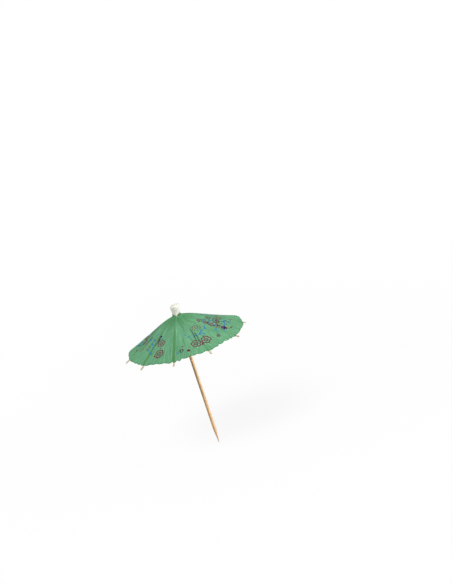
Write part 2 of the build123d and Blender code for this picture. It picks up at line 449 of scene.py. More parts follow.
def leaf(ink, width, base, tip):
    """A filled leaf, widest at its middle."""
    def distance(azimuth, slant, turned):
        centre = (base[0] + turned, base[1])
        x, y = flat_place(azimuth, slant, centre)
        end_x, end_y = flat_place(tip[0] + turned, tip[1], centre)
        length = np.hypot(end_x, end_y)
        along = (x * end_x + y * end_y) / length
        beside = np.abs(x * end_y - y * end_x) / length
        share = np.clip(along / length, 0, 1)
        past = np.abs(along - share * length)
        return np.hypot(beside, past) - width * np.sin(np.pi * share) ** LEAF_ROUNDNESS
    return ink, distance


def petals(ink, width, radius, place, depth=PETAL_DEPTH, spin=0.0):
    """The outline of a blossom, or a plain ring where depth is 0."""
    def distance(azimuth, slant, turned):
        x, y = flat_place(azimuth, slant, (place[0] + turned, place[1]))
        angle = np.arctan2(y, x) + spin
        edge = radius * (1 + depth * np.abs(np.cos(angle * PETAL_COUNT / 2)) * 2 - depth)
        return np.abs(np.hypot(x, y) - edge) - width
    return ink, distance


def near(place, distance, angle):
    """A place a few millimetres from another, across and outward."""
    across = math.degrees(distance * math.cos(angle) / (place[1] * SIN_SLOPE))
    return place[0] + across, place[1] + distance * math.sin(angle)


def blossom(radius, place, spin):
    """A blossom with its eye and stamens, or spots round an eye where it is small."""
    turns = [2 * math.pi * k / PETAL_COUNT + spin for k in range(PETAL_COUNT)]
    if radius < SMALL_BLOSSOM:
        middles = [near(place, radius * PETAL_SPOT_PLACE, angle) for angle in turns]
        spots = [dot(MAROON, radius * PETAL_SPOT, middle) for middle in middles]
        return spots + [dot(NAVY, radius * SMALL_EYE, place)]
    line = min(FINE_LINE, radius * BLOSSOM_LINE)
    outline = petals(MAROON, line, radius, place, spin=spin)
    ring = petals(MAROON, line * 0.8, radius * EYE_RING, place, depth=0)
    ends = [[near(place, radius * share, angle) for share in STAMEN] for angle in turns]
    stamens = [stroke(MAROON, line / 2, *pair) for pair in ends]
    return [outline, ring, dot(NAVY, radius * EYE, place), *stamens]


def dotted_ring(ink, radius, place, count):
    """A ring of small spots round a plain one."""
    spots = [dot(ink, RING_SPOT, near(place, radius, 2 * math.pi * k / count)) for k in range(count)]
    return spots + [petals(ink, RING_LINE, radius * EYE_RING, place, depth=0)]


LEFT_SPRAY = [
    dot(NAVY, 0.85, (-51.0, 19.4)),
    leaf(NAVY, 0.6, (-50.8, 20.4), (-50.2, 24.2)),
    stroke(NAVY, 0.2, (-50.5, 24.0), (-51.6, 25.4), (-52.6, 27.0)),
    leaf(BLUE, 0.55, (-68.5, 21.4), (-61.0, 24.2)),
    leaf(BLUE, 0.5, (-70.5, 17.2), (-65.5, 18.8)),
    leaf(BLUE, 0.55, (-68.0, 25.2), (-57.5, 26.8)),
    leaf(BLUE, 0.5, (-56.5, 27.6), (-53.6, 30.0)),
    leaf(BLUE, 0.6, (-64.5, 30.4), (-60.0, 31.6)),
    leaf(BLUE, 0.55, (-55.5, 31.6), (-50.0, 34.2)),
    leaf(BLUE, 0.45, (-47.0, 21.8), (-43.5, 20.4)),
    leaf(BLUE, 0.5, (-80.0, 22.4), (-75.0, 24.6)),
    petals(MAROON, 0.22, 1.35, (-65.5, 29.2), depth=0.1),
    stroke(MAROON, 0.2, (-66.0, 27.8), (-62.5, 24.0), (-58.0, 21.4), (-51.0, 19.4)),
    stroke(NAVY, 0.34, (-82.0, 21.0), (-80.6, 24.5), (-79.4, 27.5)),
    stroke(MAROON, 0.4, (-79.4, 27.5), (-78.2, 30.5), (-77.0, 33.5)),
    dot(MAROON, 0.32, (-73.0, 31.4)),
    *blossom(2.4, (-42.5, 24.8), 0.4),
    dot(MAROON, 0.55, (-39.5, 29.2)),
    *blossom(2.9, (-38.2, 33.8), 1.1),
    leaf(MAROON, 0.4, (-40.0, 37.7), (-34.6, 36.9)),
    dot(NAVY, 0.4, (-34.0, 36.8)),
]

MIDDLE_SPRAY = [
    leaf(MAROON, 0.6, (-7.4, 31.0), (-5.7, 32.4)),
    petals(NAVY, 0.28, 1.1, (-8.5, 35.1), depth=0.1),
    dot(MAROON, 0.4, (-6.9, 35.4)),
    leaf(BLUE, 0.5, (-15.0, 35.4), (-12.0, 36.8)),
    dot(MAROON, 1.05, (-1.0, 37.0)),
    dot(NAVY, 0.5, (0.0, 37.3)),
    leaf(BLUE, 0.55, (8.0, 25.4), (3.2, 24.0)),
    leaf(BLUE, 0.4, (4.2, 22.6), (0.0, 21.2)),
    *blossom(2.8, (10.5, 33.0), 0.2),
    *blossom(2.8, (24.2, 33.4), 0.9),
    dot(MAROON, 0.75, (16.8, 35.5)),
    dot(NAVY, 0.5, (18.6, 34.8)),
    dot(MAROON, 0.6, (25.5, 29.4)),
    stroke(NAVY, 0.2, (16.4, 18.6), (15.8, 22.0), (14.6, 26.0), (13.2, 30.6)),
    stroke(NAVY, 0.2, (18.9, 23.5), (18.2, 26.6), (16.2, 31.8)),
    *dotted_ring(MAROON, 2.7, (29.5, 19.8), 10),
    stroke(BLUE, 0.2, (46.0, 22.2), (40.0, 23.0), (34.0, 24.2), (26.5, 25.4), (20.0, 26.4), (12.0, 24.4)),
    leaf(BLUE, 0.5, (43.0, 22.8), (38.0, 25.4)),
    leaf(BLUE, 0.55, (34.0, 24.2), (28.0, 24.2)),
    leaf(BLUE, 0.55, (27.5, 25.2), (22.0, 27.4)),
    leaf(BLUE, 0.5, (28.0, 26.2), (30.5, 29.0)),
    leaf(BLUE, 0.5, (18.0, 26.0), (12.0, 26.6)),
    dot(MAROON, 0.3, (38.0, 28.0)),
]

RIGHT_SPRAY = [
    stroke(NAVY, 0.2, (61.0, 14.0), (67.5, 17.4), (69.0, 21.6), (75.5, 25.4), (76.0, 30.4), (80.5, 35.6)),
    stroke(NAVY, 0.2, (75.5, 25.4), (82.0, 28.6), (86.0, 28.6), (91.0, 30.4)),
    *blossom(1.7, (55.5, 16.4), 0.3),
    *blossom(1.8, (57.0, 20.6), 0.8),
    *blossom(1.8, (56.0, 24.8), 0.2),
    *blossom(2.0, (58.5, 28.9), 0.6),
    *blossom(1.9, (69.0, 26.4), 1.0),
    *blossom(1.8, (81.0, 25.2), 0.5),
    *blossom(1.8, (91.0, 27.0), 0.1),
    *blossom(1.7, (81.0, 20.2), 0.9),
    leaf(BLUE, 0.6, (67.0, 18.2), (73.5, 18.8)),
    leaf(BLUE, 0.6, (71.5, 22.6), (65.0, 22.0)),
    leaf(BLUE, 0.6, (73.0, 24.2), (78.0, 23.0)),
    leaf(BLUE, 0.6, (84.0, 22.6), (88.5, 22.4)),
    leaf(BLUE, 0.6, (78.0, 30.4), (83.0, 32.6)),
    leaf(BLUE, 0.6, (77.0, 29.6), (72.0, 31.6)),
    leaf(BLUE, 0.6, (78.5, 33.0), (73.5, 34.8)),
    leaf(BLUE, 0.5, (86.0, 30.0), (90.0, 31.8)),
    dot(MAROON, 0.5, (62.5, 19.0)),
    dot(MAROON, 0.5, (63.5, 24.6)),
    dot(MAROON, 0.5, (74.0, 27.8)),
    dot(NAVY, 0.5, (66.0, 30.0)),
    dot(NAVY, 0.5, (86.0, 28.4)),
    dot(NAVY, 0.65, (71.0, 27.7)),
    dot(NAVY, 0.6, (60.5, 28.8)),
    leaf(NAVY, 0.6, (83.5, 31.6), (79.5, 32.6)),
    stroke(BLUE, 0.28, (74.5, 31.6), (69.0, 32.0), (63.0, 32.9)),
    dot(MAROON, 0.75, (57.0, 21.9)),
    dot(MAROON, 0.75, (66.0, 26.9)),
    dot(MAROON, 0.65, (54.5, 26.9)),
    dot(MAROON, 0.7, (78.5, 26.3)),
    leaf(BLUE, 0.6, (71.0, 22.0), (68.0, 23.6)),
    leaf(BLUE, 0.5, (62.5, 18.2), (60.0, 19.6)),
    leaf(BLUE, 0.5, (60.5, 22.6), (55.5, 22.9)),
    leaf(BLUE, 0.5, (61.5, 26.7), (55.5, 27.0)),
    leaf(BLUE, 0.5, (56.0, 18.3), (53.5, 19.6)),
    leaf(NAVY, 0.4, (64.0, 21.4), (61.5, 22.8)),
    leaf(NAVY, 0.4, (76.5, 21.4), (73.5, 20.6)),
    stroke(BLUE, 0.22, (52.0, 29.2), (47.0, 31.8), (42.8, 34.2)),
    leaf(BLUE, 0.45, (49.0, 30.6), (46.4, 28.6)),
    stroke(MAROON, 0.3, (42.0, 34.8), (40.6, 36.6), (37.4, 37.0), (38.2, 35.2), (42.0, 34.8)),
    dot(NAVY, 0.4, (39.5, 35.8)),
    leaf(MAROON, 0.75, (55.0, 33.2), (62.5, 31.4)),
    leaf(BLUE, 0.75, (52.5, 35.2), (65.0, 32.0)),
    leaf(NAVY, 0.85, (56.0, 34.4), (63.5, 32.9)),
    leaf(MAROON, 0.6, (57.0, 35.6), (62.5, 34.2)),
    leaf(BLUE, 0.45, (76.0, 34.1), (72.0, 35.5)),
    leaf(MAROON, 0.5, (62.0, 37.0), (67.0, 37.8)),
    leaf(MAROON, 0.5, (85.5, 34.9), (90.5, 35.6)),
    dot(MAROON, 0.45, (68.0, 33.4)),
]


def ink_distances(azimuth, slant):
    """How far each place is from each ink's edge, below 0 inside it."""
    inks = np.full(azimuth.shape + (3,), INK_REACH)
    from_front = azimuth - FRONT
    for turned in PRINT_TURNS:
        for ink, distance in LEFT_SPRAY + MIDDLE_SPRAY + RIGHT_SPRAY:
            inks[..., ink] = np.minimum(inks[..., ink], distance(from_front, slant, turned))
    return inks


# The canopy

def cone_points(azimuth, slant, lift):
    """Points at an azimuth and a slant from the apex, lifted square to the paper."""
    out = slant * SIN_SLOPE + lift * COS_SLOPE
    height = APEX_Z - slant * COS_SLOPE + lift * SIN_SLOPE
    return round_points(out, np.radians(azimuth), height)


def rim_slant(azimuth):
    """The slant of the paper's cut edge, with uneven scallops that are shallow at the sides."""
    angle = np.radians(azimuth)
    phase = azimuth / (RIB_STEP / SCALLOPS_PER_GORE) + 0.5
    phase = phase + ripple(angle, *RIM_WAVES)
    notch = np.round(phase)
    closeness = 1 - 2 * np.abs(phase - notch)
    chance = scatter(notch % (RIB_COUNT * SCALLOPS_PER_GORE))
    depth = SCALLOP_DEPTH * (SCALLOP_LEAST + SCALLOP_SPREAD * chance) * closeness**SCALLOP_POINT
    depth = depth * (SIDE_SCALLOPS + (1 - SIDE_SCALLOPS) * np.sin(angle) ** 2)
    drift = RIM_DRIFT + ripple(angle, (RIM_DRIFT_WAVES, RIM_DRIFT, math.radians(RIM_DRIFT_TURN)))
    return RIM_SLANT - depth - drift + RIM_SHIFT * np.cos(angle)


def crown_rise(slant):
    """How far the paper is domed up round the cap."""
    share = np.clip((slant - CROWN_START) / (CROWN_REACH - CROWN_START), 0, 1)
    return CROWN_RISE * (1 - share**2 * (3 - 2 * share))


def fold_line(slant):
    """The lift at which the middles of two half gores just meet when the canopy is folded."""
    return PUFF_AT_RIM - PUFF_PER_SLANT * (RIM_SLANT - slant)


def paper_lift(azimuth, slant, across):
    """How far the paper stands off the cone: puffed between the ribs, fluted and crinkled."""
    share = np.clip(slant / RIM_SLANT, 0, 1)
    out = np.clip((slant - INNER_SLANT) / (RIM_SLANT - INNER_SLANT), 0, 1)
    middle = fold_line(slant) + (1 - out) * (MIDDLE_BOW_START + MIDDLE_BOW * out)
    over_rib = RIB_BOW * np.sin(np.pi * out**RIB_BOW_SKEW)
    puff = over_rib + (middle - over_rib) * (1 - np.cos(np.pi * across)) / 2 + crown_rise(slant)
    angle = np.radians(azimuth)
    swell = FLUTE_MEAN + ripple(angle, (FLUTE_SWELLS, 1 - FLUTE_MEAN, 1 + FLUTE_LEAN * slant))
    flutes = np.sin(2 * np.pi * azimuth / FLUTE_PITCH + np.sin(angle * FLUTE_WANDERS))
    wander = np.sin(angle * CRINKLE_WANDERS) + 0.35 * np.sin(slant * 0.7)
    crinkles = np.sin(angle * CRINKLE_COUNT + wander)
    return puff + FLUTE_HEIGHT * share**2 * swell * flutes + CRINKLE_HEIGHT * share * crinkles


def with_hem(azimuth, slant, lift, sign):
    """A half gore's grids with a hem turned under at the gore's middle, and the hem's mean width.

    The hem closes the ridge of the folded gore.
    """
    ridge = [grid[:, -1:] for grid in (azimuth, slant, lift)]
    width = HEM_MARGIN + HEM_SHARE * np.maximum(ridge[2] - fold_line(ridge[1]), 0)
    width = width * np.clip((ridge[1] - INNER_SLANT) / HEM_TAPER, HEM_LEAST, 1)
    past = width * np.linspace(0, 1, HEM_COLUMNS + 1)[None, 1:]
    bent = math.radians(HEM_ANGLE)
    turn = np.degrees(past * math.cos(bent) / (ridge[1] * SIN_SLOPE))
    hem = (ridge[0] + sign * turn, ridge[1] + 0 * past, ridge[2] - past * math.sin(bent))
    grids = [np.concatenate(pair, axis=1) for pair in zip((azimuth, slant, lift), hem)]
    return grids, width.mean()


def half_gore_grids(rib, sign):
    """Azimuth, slant and share across a half gore, in rows from the hub to the rim."""
    across, down = np.meshgrid(np.linspace(0, 1, PAPER_COLUMNS), np.linspace(0, 1, PAPER_ROWS))
    azimuth = rib + sign * HALF_GORE * across
    slant = INNER_SLANT + down * (rim_slant(azimuth) - INNER_SLANT)
    return azimuth, slant, across


def store_print(obj, azimuth, slant, rib, rib_shadow_strength):
    """Stores where each point lies on the paper, how far it is from the rib, the inks and the rim, and how
    dark its rib's painted shadow is.

    The hem repeats the ridge.
    """
    azimuth, slant = [np.pad(grid, ((0, 0), (0, HEM_COLUMNS)), mode="edge") for grid in (azimuth, slant)]
    sideways = slant * SIN_SLOPE * np.sin(np.radians(azimuth - rib))
    edge = rim_slant(azimuth) - slant
    # The rim attribute also carries the strength of the rib's painted shadow and highlight.
    rib_shadow_band = np.full(edge.shape, rib_shadow_strength)
    top, under = [np.stack([edge, rib_shadow_band, np.full(edge.shape, side)], axis=-1) for side in (0.0, 1.0)]
    store_vectors(obj, "polar", np.stack([azimuth, slant, sideways], axis=-1))
    store_vectors(obj, "inks", ink_distances(azimuth, slant))
    store_vectors(obj, "rim", top, under)


def half_gore(index, side, material):
    """The paper from a rib's centre line to the middle of a gore, in place of its CAD half gore."""
    label = f"{index + 1:02d}"
    rib = before_back(RIB_STEP * index)
    sign = 1 if side == "left" else -1
    azimuth, slant, across = half_gore_grids(rib, sign)
    lift = paper_lift(azimuth, slant, across)
    (*places, hemmed_lift), hem_width = with_hem(azimuth, slant, lift, sign)
    outer = cone_points(*places, hemmed_lift + PAPER_THICKNESS / 2)
    inner = cone_points(*places, hemmed_lift - PAPER_THICKNESS / 2)
    obj = shell_object(f"canopy_paper_{label}_{side}", outer, inner, ridge=PAPER_COLUMNS - 1)
    store_print(obj, azimuth, slant, rib, RIB_SHADOW_STRENGTHS[index])
    obj.data.materials.append(material)

    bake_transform(obj)
    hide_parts(f"gore_{label}_{side}")


def middle_profile():
    """Radius and height of the middle's paper, from the edge of its skirt to the top of its collar."""
    fall = COS_SLOPE / SIN_SLOPE
    base = APEX_Z - COLLAR_RADIUS * fall
    skirt = [(radius, APEX_Z + MIDDLE_LIFT + rise - radius * fall) for radius, rise in MIDDLE_SKIRT]
    collar = [(COLLAR_RADIUS + flare, base + COLLAR_HEIGHT * share) for flare, share in COLLAR_FLARE]
    return smooth_line(skirt + collar, MIDDLE_STEPS)


def canopy_middle(material):
    """The paper round the cap, glued to the hub, with a gathered collar."""
    profile = middle_profile()
    share = np.linspace(0, 1, len(profile))[:, None]
    azimuth = np.linspace(0, 360, MIDDLE_COLUMNS, endpoint=False)[None, :]
    angle = np.radians(azimuth)
    gather = np.clip((share - COLLAR_START) / (1 - COLLAR_START), 0, 1)
    wave = ripple(angle, (COLLAR_WAVES, 0.6, 0.8 * np.sin(angle * 2)), (17, 0.4, 1))
    crinkle = ripple(angle, (41, 0.035, 0))
    ragged = ripple(angle, (23, MIDDLE_RAGGED, 0))
    radius = profile[:, :1] + gather * COLLAR_WAVE_HEIGHT * wave + (1 - gather) * crinkle
    radius = radius + (1 - share) ** RAGGED_FADE * ragged
    notch = COLLAR_NOTCH * np.maximum(np.cos(angle - math.radians(FRONT)), 0) ** NOTCH_NARROWNESS
    uneven = ripple(angle, *COLLAR_EDGE_WAVES) - notch
    sag = MIDDLE_SAG * (1 - np.cos(angle * RIB_COUNT)) / 2 * np.clip(1 - share * 2, 0, 1)
    height = profile[:, 1:] + gather**2 * uneven - sag
    thickness = MIDDLE_EDGE + (PAPER_THICKNESS - MIDDLE_EDGE) * np.clip(share * 4, 0, 1)
    outer = round_points(radius, angle, height)
    inner = round_points(radius - thickness * gather, angle, height - thickness * (1 - gather))
    obj = shell_object("canopy_middle", outer, inner, closed=True)

    slant = np.maximum(radius / SIN_SLOPE - gather, LEAST_SLANT)
    around = np.broadcast_to(before_back(azimuth), slant.shape)
    polar = np.stack([around, slant, np.full(slant.shape, OFF_RIB)], axis=-1)
    store_vectors(obj, "polar", polar)
    store_vectors(obj, "inks", np.full(polar.shape, INK_REACH))
    store_vectors(obj, "rim", np.full(polar.shape, OFF_RIM))
    obj.data.materials.append(material)
    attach(obj, "pick")
    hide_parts("canopy_crown")


# Rolled paper

def rolled_paper(profile, columns, seam, bend):
    """Points and faces of a roll from a closed profile, whose outer turn ends in a step at the seam."""
    share = np.linspace(0, 1, columns)[None, :]
    angle = np.radians(seam) + 2 * math.pi * share
    radius = profile[:, :1] + ROLL_STEP * (1 - share) * np.clip(profile[:, :1] - 1, 0, 1)
    height = np.repeat(profile[:, 1:], columns, axis=1)
    radius, height = bend(radius, height, angle)
    return round_points(radius, angle, height), grid_faces(len(profile), columns, closed=True, looped=True)


def cap_roll(material):
    """The rolled paper cap: gathered at its base, with a rolled lip and a spiral end."""
    low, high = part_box("cap")
    base = low[2] / MM
    height = (high[2] - low[2]) / MM
    end = [(radius, height - drop) for radius, drop in CAP_END]
    bore = [(0, CAP_BORE_DEPTH), (CAP_BORE, CAP_BORE_DEPTH)]
    profile = np.maximum(smooth_line([(CAP_BORE, 0.0), *CAP_SIDE, *end, *bore], CAP_STEPS), 0)

    def bend(radius, z, angle):
        gathered = np.clip(1 - z / CAP_GATHER, 0, 1) ** CAP_CURVE
        outside = np.clip((radius - CAP_CORE) / CAP_SKIN, 0, 1) * np.clip((height - z) / CAP_LIP, 0, 1)
        folds = ripple(angle, (7, 0.16, 0.7 * np.sin(angle * 3)), (17, 0.05, 1))
        soft = ripple(angle, (2, 0.06, z * 0.4), (5, 0.025, z * -0.7))
        radius = radius + outside * (gathered * folds + soft)
        spiral = np.sin(2 * math.pi * radius / CAP_TURN + angle)
        on_top = np.clip((z - height + CAP_TURN_START) / CAP_TURN_FADE, 0, 1)
        return radius, z - on_top * CAP_TURN_DEPTH * (1 + spiral)

    points, faces = rolled_paper(profile, CAP_COLUMNS, CAP_SEAM, bend)
    lean = points[..., 2:] ** CAP_CURVE * CAP_LEAN
    points = points + np.concatenate([lean, lean * 0, lean * 0 + base], axis=-1)
    obj = mesh_object("cap_roll", points.reshape(-1, 3), faces)
    obj.data.materials.append(material)
    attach(obj, "pick")
    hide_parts("cap")


def sleeve_roll(material):
    """The newsprint roll on the pick between hub and runner."""
    low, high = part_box("spacer_sleeve")
    radius = (high[0] - low[0]) / 2 / MM
    bottom = low[2] / MM
    top = high[2] / MM
    bore = radius - SLEEVE_WALL
    lip = radius - SLEEVE_CHAMFER
    side = radius - SLEEVE_ROOM
    outline = [
        (bore, bottom), (lip, bottom), (side, bottom + SLEEVE_ROUND),
        (side, top - SLEEVE_ROUND), (lip, top), (bore, top),
    ]

    def bend(turn_radius, z, angle):
        crease = ripple(angle, (5, 0.03, z * 0.35), (11, 0.02, z * -0.6))
        return turn_radius + (turn_radius > bore + SLEEVE_CORE) * crease, z

    points, faces = rolled_paper(smooth_line(outline, SLEEVE_STEPS), SLEEVE_COLUMNS, SLEEVE_SEAM, bend)
    obj = mesh_object("sleeve_roll", points.reshape(-1, 3), faces)
    obj.data.materials.append(material)
    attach(obj, "pick")
    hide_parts("spacer_sleeve")


# Thread

def thread_ring(name, node, body, material):
    """A ring of plied thread in place of a plain one."""
    low, high = [np.array(corner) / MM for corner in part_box(node)]
    thread_radius = (high[2] - low[2]) / 2
    ring_radius = (high[0] - low[0]) / 2 - thread_radius
    offset = PLY_OFFSET * thread_radius
    height = (high[2] + low[2]) / 2
    turn = np.linspace(0, 2 * math.pi, RING_STEPS, endpoint=False)
    plies = []
    for ply in range(PLY_COUNT):
        lay = turn * RING_LAY + ply * math.pi
        path = round_points(ring_radius + offset * np.cos(lay), turn, height + offset * np.sin(lay))
        plies.append(tube(path, PLY_RADIUS * thread_radius, THREAD_SIDES, closed=True))
    obj = join_tubes(name, plies)
    obj.data.materials.append(material)
    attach(obj, body)
    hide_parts(node)


def knotted_tie(index, material):
    """A thread through a rib's knuckle, twisted, with a wrapped knot at each end."""
    label = f"{index + 1:02d}"
    node = frame["nodes"][f"tie_{label}"]
    corners = np.array([vertex.co for vertex in node.data.vertices]) / MM
    angle = math.radians(RIB_STEP * index)
    along = np.array([-math.sin(angle), math.cos(angle), 0])
    outward = np.array([math.cos(angle), math.sin(angle), 0])
    up = np.array([0, 0, 1.0])
    reach = corners @ along
    middle = (corners.max(axis=0) + corners.min(axis=0)) / 2
    middle = middle + along * ((reach.max() + reach.min()) / 2 - middle @ along)
    half = (reach.max() - reach.min()) / 2

    def coil(place, lay, radius):
        around = np.outer(np.cos(lay), outward) + np.outer(np.sin(lay), up)
        return middle + np.outer(place, along) + radius * around

    tubes = []
    for ply in range(PLY_COUNT):
        place = np.linspace(TIE_INSET - half, half - TIE_INSET, TIE_STEPS)
        path = coil(place, place * TIE_LAY + ply * math.pi, TIE_OFFSET)
        tubes.append(tube(path, TIE_PLY, THREAD_SIDES))
    for end in (-1, 1):
        lay = np.linspace(0, 2 * math.pi * KNOT_TURNS, KNOT_STEPS)
        path = coil(end * (half - KNOT_INSET + KNOT_LENGTH * lay / lay[-1]), lay, KNOT_COIL)
        tubes.append(tube(path, KNOT_THREAD, THREAD_SIDES))
    obj = join_tubes(f"knotted_tie_{label}", tubes)
    obj.data.materials.append(material)
    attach(obj, f"rib_{label}")
    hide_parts(f"tie_{label}")


# Nodes

def new_material(name, roughness):
    """A material with its tree and its Principled shader."""
    material = bpy.data.materials.new(name)
    material.use_nodes = True
    tree = material.node_tree
    shader = tree.nodes["Principled BSDF"]
    shader.inputs["Roughness"].default_value = roughness
    return material, tree, shader


def add(tree, kind, settings=None, sockets=None):
    """A node with its settings, and values or links for its sockets."""
    node = tree.nodes.new(kind)
    for key, value in (settings or {}).items():
        setattr(node, key, value)
    for key, value in (sockets or {}).items():
        if isinstance(value, bpy.types.NodeSocket):
            tree.links.new(value, node.inputs[key])
        else:
            node.inputs[key].default_value = value
    return node


def calc(tree, operation, first, second=0.0):
    """A math operation on two numbers or sockets."""
    return add(tree, "ShaderNodeMath", {"operation": operation}, {0: first, 1: second}).outputs[0]


def times(tree, first, second):
    """A product of two numbers or sockets."""
    return calc(tree, "MULTIPLY", first, second)


def mix(tree, factor, first, second):
    """A mix of two colours."""
    settings = {"data_type": "RGBA"}
    return add(tree, "ShaderNodeMix", settings, {0: factor, 6: first, 7: second}).outputs[2]


def laid_over(tree, colour, over, amount, share):
    """A colour with another laid over it, by an amount and a share of it."""
    return mix(tree, times(tree, amount, share), colour, over)


def between(tree, value, low, high):
    """0 at low and 1 at high, with soft ends."""
    settings = {"interpolation_type": "SMOOTHSTEP"}
    sockets = {"Value": value, "From Min": low, "From Max": high}
    return add(tree, "ShaderNodeMapRange", settings, sockets).outputs["Result"]


def noise(tree, vector, scale, detail=3.0, roughness=0.6):
    """Noise from 0 to 1 at a vector."""
    sockets = {"Vector": vector, "Scale": scale, "Detail": detail, "Roughness": roughness}
    return add(tree, "ShaderNodeTexNoise", None, sockets).outputs[0]


def combine(tree, x, y, z):
    """A vector from three numbers or sockets."""
    return add(tree, "ShaderNodeCombineXYZ", None, {0: x, 1: y, 2: z}).outputs[0]


def stretched(tree, parts, scales):
    """A vector from three sockets, each times its own scale."""
    return combine(tree, *(times(tree, part, scale) for part, scale in zip(parts, scales)))


def split(tree, vector):
    """The three parts of a vector."""
    return add(tree, "ShaderNodeSeparateXYZ", None, {0: vector}).outputs


def stored_parts(tree, name):
    """The three parts of a vector that is stored with the mesh."""
    return split(tree, add(tree, "ShaderNodeAttribute", {"attribute_name": name}).outputs["Vector"])


def millimetres(tree):
    """The piece's own coordinates in millimetres, and their three parts."""
    place = add(tree, "ShaderNodeTexCoord").outputs["Object"]
    scaled = add(tree, "ShaderNodeVectorMath", {"operation": "SCALE"}, {0: place, "Scale": 1 / MM})
    return scaled.outputs[0], split(tree, scaled.outputs[0])


def ranged(tree, value, low, high, start=0.0, end=1.0):
    """A value from start to end as one from low to high."""
    sockets = {"Value": value, "From Min": start, "From Max": end, "To Min": low, "To Max": high}
    return add(tree, "ShaderNodeMapRange", None, sockets).outputs["Result"]


def set_surface(tree, shader, colour, relief, depth):
    """Gives a shader its colour and a bump with a depth in millimetres, and returns the bump's normal."""
    normal = add(tree, "ShaderNodeBump", None, {"Height": relief, "Distance": depth * MM}).outputs[0]
    tree.links.new(colour, shader.inputs["Base Color"])
    tree.links.new(normal, shader.inputs["Normal"])
    return normal


def set_roughness(tree, shader, value, low, high):
    """Gives a shader a roughness from low to high."""
    tree.links.new(ranged(tree, value, low, high), shader.inputs["Roughness"])


def mix_shaders(tree, share, first, second):
    """Shows a mix of two shaders."""
    both = add(tree, "ShaderNodeMixShader", None, {0: share, 1: first.outputs[0], 2: second.outputs[0]})
    tree.links.new(both.outputs[0], tree.nodes["Material Output"].inputs["Surface"])


# Materials

def painted_rib_shadows(tree, colour, slant, sideways, strength):
    """A painted shadow where a rib lies behind the paper, and a painted highlight as a pale line beside it,
    both as strong as the rib's given strength.
    """
    rib_shadow_edge = calc(tree, "ADD", times(tree, slant, 0.017), 0.3)
    past = calc(tree, "SUBTRACT", calc(tree, "ABSOLUTE", sideways), rib_shadow_edge)
    rib_shadow_band = times(tree, between(tree, past, 0.45, -0.35), between(tree, slant, 8.0, 20.0))
    # Painted shadow of the rib seen through the paper, fading out towards the cap.
    colour = laid_over(tree, colour, linear(78, 138, 74), times(tree, rib_shadow_band, strength), 0.85)
    # Painted highlight: a pale line beside the rib.
    beside = times(tree, between(tree, sideways, 1.0, 1.15), between(tree, sideways, 1.6, 1.35))
    beside = times(tree, beside, times(tree, strength, between(tree, slant, 8.0, 18.0)))
    return laid_over(tree, colour, linear(152, 208, 168), beside, 0.45)


def printed(tree, colour, place, underside):
    """The paper's colour with its three inks, a little worn, which show weakly on the underside."""
    worn = times(tree, calc(tree, "SUBTRACT", noise(tree, place, 1.4, 2.0), 0.5), 0.3)
    strength = between(tree, underside, 1.3, 0.0)
    maroon, blue, navy = linear(116, 20, 66), linear(56, 130, 186), linear(30, 22, 62)
    for amount, ink in zip(stored_parts(tree, "inks"), (maroon, blue, navy)):
        inked = between(tree, calc(tree, "ADD", amount, worn), 0.12, -0.1)
        colour = laid_over(tree, colour, ink, inked, strength)
    return colour


def canopy_paper():
    """Thin green paper with radial crinkles, painted rib shadows and highlights, painted shade towards the
    cap, a darker cut edge and printed blossoms.
    """
    material, tree, shader = new_material("canopy_paper", 0.78)
    azimuth, slant, sideways = stored_parts(tree, "polar")
    edge, rib_shadow_strength, underside = stored_parts(tree, "rim")
    place, _ = millimetres(tree)

    def streaks(across, along, layer, detail):
        drawn_out = combine(tree, times(tree, azimuth, across), times(tree, slant, along), layer)
        return noise(tree, drawn_out, 1.0, detail)

    wide = streaks(0.8, 0.05, 0.0, 3.0)
    fine = streaks(2.3, 0.16, 4.0, 4.0)
    crease = streaks(1.5, 0.03, 9.0, 2.0)
    fibre = noise(tree, place, 2.2, 5.0, 0.7)
    tone = calc(tree, "ADD", times(tree, wide, 0.45), times(tree, fine, 0.55))
    colour = mix(tree, between(tree, tone, 0.38, 0.62), linear(84, 150, 102), linear(128, 190, 149))
    colour = mix(tree, between(tree, fibre, 0.56, 0.78), colour, linear(146, 204, 164))
    colour = laid_over(tree, colour, linear(150, 208, 168), between(tree, crease, 0.6, 0.68), 0.5)
    # Painted shade: the paper darkens towards the cap.
    colour = laid_over(tree, colour, linear(82, 148, 95), between(tree, slant, 17.0, 4.0), 0.8)
    colour = painted_rib_shadows(tree, colour, slant, sideways, rib_shadow_strength)
    colour = laid_over(tree, colour, linear(60, 148, 90), between(tree, edge, 0.9, 0.2), 0.85)
    colour = printed(tree, colour, place, underside)

    set_roughness(tree, shader, fibre, 0.68, 0.88)
    shader.inputs["Specular IOR Level"].default_value = 0.3
    relief = calc(tree, "ADD", fine, times(tree, fibre, 0.35))
    normal = set_surface(tree, shader, colour, relief, 0.16)
    through = add(tree, "ShaderNodeBsdfTranslucent", None, {"Color": colour, "Normal": normal})
    mix_shaders(tree, 0.25, shader, through)
    return material


def white_roll_paper():
    """Soft white paper, with painted grey shade in its folds and a painted pink reflection at its base."""
    material, tree, shader = new_material("cap_paper", 0.8)
    place, parts = millimetres(tree)
    fibre = noise(tree, place, 1.6, 5.0, 0.65)
    folds = noise(tree, stretched(tree, parts, (1.5, 1.5, 0.25)), 1.0)
    # Painted shade: grey streaks where the paper folds.
    colour = mix(tree, between(tree, folds, 0.3, 0.7), linear(214, 214, 203), linear(236, 236, 227))
    colour = mix(tree, between(tree, fibre, 0.62, 0.85), colour, linear(220, 214, 205))
    # Painted reflection: a pink tint at the cap's base.
    painted_pink_reflection = between(tree, parts[2], APEX_Z + 2.6, APEX_Z + 0.4)
    colour = laid_over(tree, colour, linear(224, 196, 184), painted_pink_reflection, 0.5)
    set_surface(tree, shader, colour, calc(tree, "ADD", fibre, folds), 0.05)
    return material


